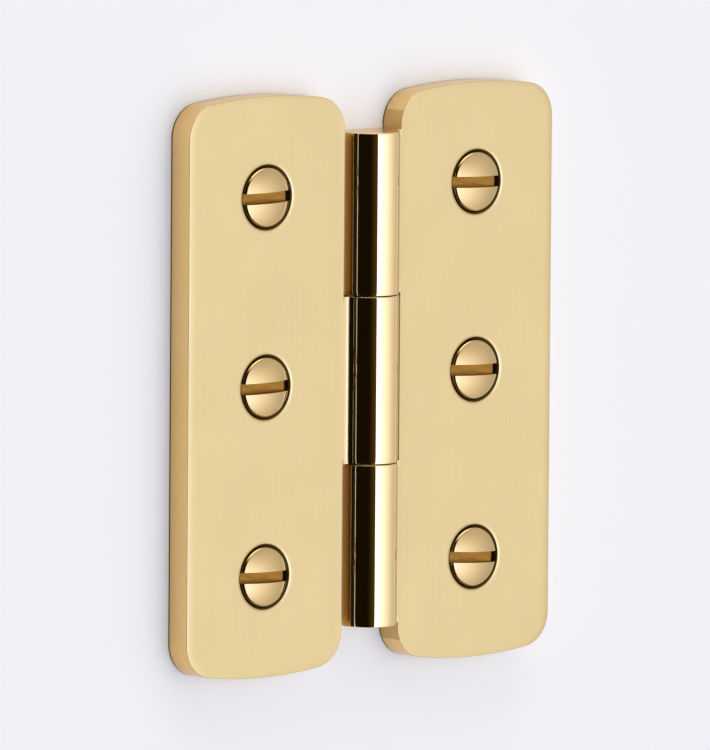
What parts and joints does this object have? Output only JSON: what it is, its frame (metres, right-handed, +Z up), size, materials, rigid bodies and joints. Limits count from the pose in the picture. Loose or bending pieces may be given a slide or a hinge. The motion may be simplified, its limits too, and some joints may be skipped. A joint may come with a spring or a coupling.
{
  "type": "surface mount cabinet hinge",
  "caption": "Flat surface mount cabinet hinge: crowned brass leaves, knuckled barrel on a hidden pin, slotted oval head wood screws.",
  "frame": {"origin": "centre of the frame leaf's mounting face, on the axis of its middle screw", "axes": "+Z up along the pin, +Y into the cabinet, +X from the pin across the frame leaf"},
  "size_m": [0.0635, 0.0229, 0.0762],
  "materials": {
    "leaf_brass": "satin faces and polished barrel, unlacquered",
    "pin_brass": "drawn bright",
    "screw_brass": "polished head, cut thread"
  },
  "bodies": {
    "frame": {"frame_leaf": "leaf_brass", "hinge_pin": "pin_brass", "frame_screw_top": "screw_brass", "frame_screw_middle": "screw_brass", "frame_screw_bottom": "screw_brass"},
    "door": {"door_leaf": "leaf_brass", "door_screw_top": "screw_brass", "door_screw_middle": "screw_brass", "door_screw_bottom": "screw_brass"}
  },
  "joints": [
    {"name": "leaf_swing", "type": "hinge", "parent": "frame", "child": "door", "pos_m": [-0.01835, -0.0033, 0], "axis": [0, 0, 1], "range_deg": [0, 168]}
  ]
}
